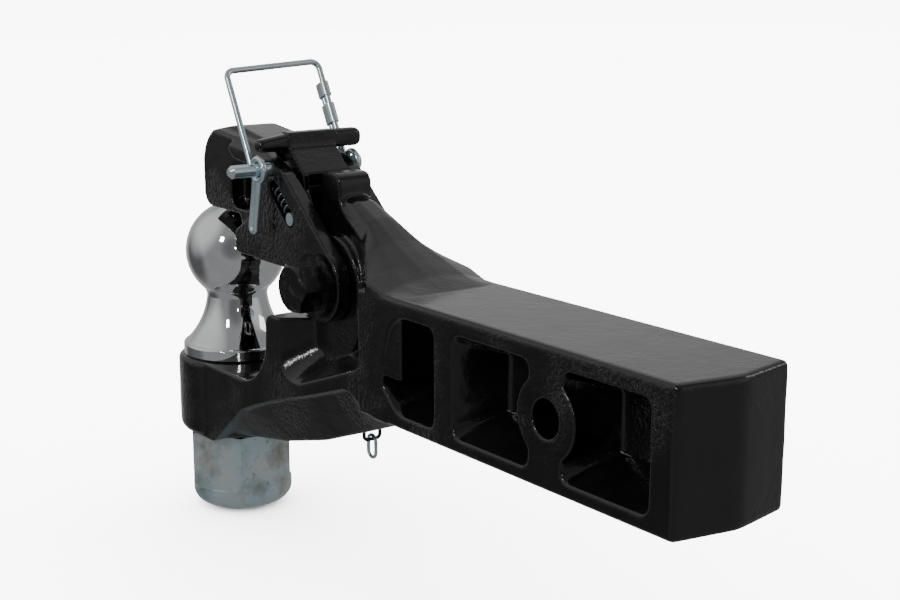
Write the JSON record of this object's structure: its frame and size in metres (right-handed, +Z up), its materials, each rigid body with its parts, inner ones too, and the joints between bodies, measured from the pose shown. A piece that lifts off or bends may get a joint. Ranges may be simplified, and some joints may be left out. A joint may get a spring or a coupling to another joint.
{
  "type": "combination pintle hook and hitch ball",
  "caption": "Cast receiver-mount hitch with a square drilled shank, a hitch ball on a round platform and a pivoting latch over the ball with a sliding lock, safety pin and wire bail.",
  "frame": {"origin": "centre of the receiver pin bore", "axes": "+X along the shank to its free end, +Y to the pivot nut's side, +Z up, with the ball on the -X side"},
  "size_m": [0.4381, 0.0979, 0.2684],
  "materials": {
    "black_paint": "gloss",
    "chrome": "mirror",
    "zinc": "bright zinc plated",
    "black_bolt": "satin",
    "nylon": "matte"
  },
  "bodies": {
    "hook": {"hitch_body": "black_paint", "hitch_ball": "chrome", "ball_nut": "zinc", "ball_nut_insert": "nylon", "pivot_bolt": "black_bolt", "pivot_bolt_washer": "black_bolt", "pivot_nut_washer": "zinc", "pivot_nut": "zinc", "pivot_nut_insert": "nylon", "pivot_sleeve": "zinc", "lanyard_staple": "black_paint"},
    "latch_arm": {"latch": "black_paint", "lock_spring_near": "zinc", "lock_spring_far": "zinc"},
    "lock": {"lock_handle": "black_paint", "lock_guide_pin_near": "zinc", "lock_guide_pin_far": "zinc"},
    "pin": {"safety_pin": "zinc"},
    "bail": {"wire_bail": "zinc", "bail_collar_lower": "zinc", "bail_collar_upper": "zinc"},
    "ring": {"lanyard_ring": "zinc"}
  },
  "joints": [
    {"name": "latch_pivot", "type": "hinge", "parent": "hook", "child": "latch_arm", "pos_m": [-0.19, 0, 0.024], "axis": [0, 1, 0], "range_deg": [0, 62]},
    {"name": "lock_slide", "type": "slide", "parent": "latch_arm", "child": "lock", "axis": [-0.7408, 0, 0.6717], "range_m": [0, 0.012], "stiffness_N_per_m": 400, "springref_m": -0.004, "deforming": ["lock_spring_near", "lock_spring_far"]},
    {"name": "safety_pin_slide", "type": "slide", "parent": "latch_arm", "child": "pin", "axis": [0, 1, 0], "range_m": [0, 0.0045]},
    {"name": "bail_swing", "type": "hinge", "parent": "pin", "child": "bail", "pos_m": [-0.236, 0, 0.079], "axis": [0, 1, 0], "range_deg": [-35, 0]},
    {"name": "ring_swing", "type": "hinge", "parent": "hook", "child": "ring", "pos_m": [-0.1776, 0, -0.0603], "axis": [0, 1, 0], "range_deg": [-50, 50]}
  ]
}
